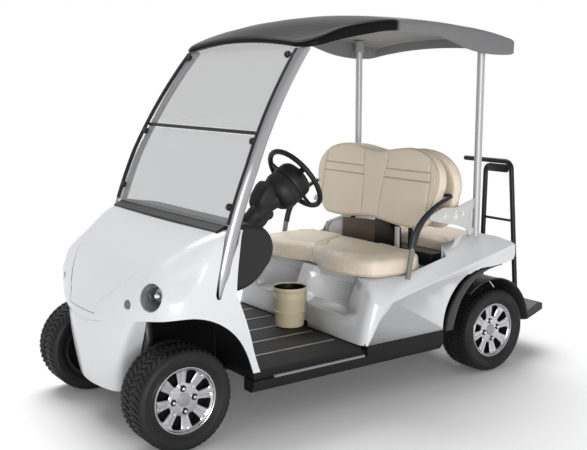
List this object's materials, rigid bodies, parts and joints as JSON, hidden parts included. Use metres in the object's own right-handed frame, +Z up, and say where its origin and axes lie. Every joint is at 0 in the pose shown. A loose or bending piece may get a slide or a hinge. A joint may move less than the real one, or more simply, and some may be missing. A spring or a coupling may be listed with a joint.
{
  "type": "golf cart",
  "caption": "Open golf cart with a moulded nose, raked windshield, crowned roof, back-to-back bench seats, rear step with grab frame, and steered alloy wheels.",
  "frame": {"origin": "on the ground under the middle of the bounding box", "axes": "+X forward, +Y to the driver's left, +Z up"},
  "size_m": [2.7451, 1.1934, 1.9103],
  "materials": {
    "body_white": "glossy painted panels",
    "frame_black": "black painted steel",
    "sill_black": "matt black moulding",
    "mat_grey": "dark grey ribbed mat",
    "strip_aluminium": "bright strips",
    "trim_grey": "grey strip",
    "liner_black": "black moulding",
    "dash_grey": "dark grey grained moulding",
    "lamp_cup": "painted recess",
    "lamp_lens": "clear lens over bright reflector",
    "indicator_lens": "amber lens",
    "windshield_clear": "clear sheet",
    "pillar_silver": "satin silver",
    "roof_grey": "glossy moulded shell",
    "bracket_cast": "pale cast bracket",
    "seat_beige": "beige vinyl",
    "bin_beige": "beige moulding",
    "wheel_alloy": "machined alloy",
    "tyre_rubber": "black tread rubber",
    "steel": "bare steel",
    "motor_black": "black housing"
  },
  "bodies": {
    "body": {"chassis_frame": "frame_black", "floor_mat": "mat_grey", "floor_strips": "strip_aluminium", "side_sills": "sill_black", "sill_trims": "trim_grey", "front_body": "body_white", "hood": "body_white", "headlamp_cups": "lamp_cup", "headlamps": "lamp_lens", "indicators": "indicator_lens", "wheel_liners": "liner_black", "cowl_panel": "dash_grey", "dashboard": "dash_grey", "windshield": "windshield_clear", "windshield_bar": "frame_black", "front_pillars": "pillar_silver", "roof": "roof_grey", "rear_posts": "pillar_silver", "post_brackets": "bracket_cast", "seat_pod": "body_white", "rear_arch_trims": "sill_black", "front_cushion": "seat_beige", "front_backrest": "seat_beige", "rear_cushion": "seat_beige", "rear_backrest": "seat_beige", "backrest_frame": "frame_black", "armrests": "frame_black", "rear_platform": "mat_grey", "grab_frame": "frame_black", "bin": "bin_beige", "steering_column": "sill_black", "pedals": "sill_black", "front_arms": "frame_black", "shocks": "steel", "rear_axle": "frame_black", "motor": "motor_black", "battery_box": "motor_black"},
    "steer_left": {"knuckle_left": "steel"},
    "steer_right": {"knuckle_right": "steel"},
    "track_rod": {"track_rod": "steel"},
    "steering_wheel": {"steering_wheel": "sill_black"},
    "wheel_fl": {"tyre_fl": "tyre_rubber", "rim_fl": "wheel_alloy"},
    "wheel_fr": {"tyre_fr": "tyre_rubber", "rim_fr": "wheel_alloy"},
    "wheel_rl": {"tyre_rl": "tyre_rubber", "rim_rl": "wheel_alloy"},
    "wheel_rr": {"tyre_rr": "tyre_rubber", "rim_rr": "wheel_alloy"}
  },
  "joints": [
    {"name": "steer_left_turn", "type": "hinge", "parent": "body", "child": "steer_left", "pos_m": [1.1385, 0.362, 0.2295], "axis": [0, 0, 1], "range_deg": [-28, 28]},
    {"name": "steer_right_turn", "type": "hinge", "parent": "body", "child": "steer_right", "pos_m": [1.1385, -0.362, 0.2295], "axis": [0, 0, 1], "range_deg": [-28, 28]},
    {"name": "track_rod_slide", "type": "slide", "parent": "body", "child": "track_rod", "axis": [0, 1, 0], "range_m": [-0.058, 0.058]},
    {"name": "steering_wheel_turn", "type": "hinge", "parent": "body", "child": "steering_wheel", "pos_m": [0.3505, 0.27, 1.105], "axis": [-0.8291, 0, 0.5591], "range_deg": [-340, 340]},
    {"name": "wheel_fl_spin", "type": "hinge", "parent": "steer_left", "child": "wheel_fl", "pos_m": [1.1385, 0.488, 0.2295], "axis": [0, 1, 0], "continuous": true},
    {"name": "wheel_fr_spin", "type": "hinge", "parent": "steer_right", "child": "wheel_fr", "pos_m": [1.1385, -0.488, 0.2295], "axis": [0, 1, 0], "continuous": true},
    {"name": "wheel_rl_spin", "type": "hinge", "parent": "body", "child": "wheel_rl", "pos_m": [-0.7635, 0.488, 0.2295], "axis": [0, 1, 0], "continuous": true},
    {"name": "wheel_rr_spin", "type": "hinge", "parent": "body", "child": "wheel_rr", "pos_m": [-0.7635, -0.488, 0.2295], "axis": [0, 1, 0], "continuous": true}
  ],
  "couplings": [
    {"joint": "steer_right_turn", "follows": "steer_left_turn", "ratio": 1},
    {"joint": "track_rod_slide", "follows": "steer_left_turn", "m_per_rad": -0.112},
    {"joint": "steering_wheel_turn", "follows": "steer_left_turn", "ratio": 12}
  ]
}
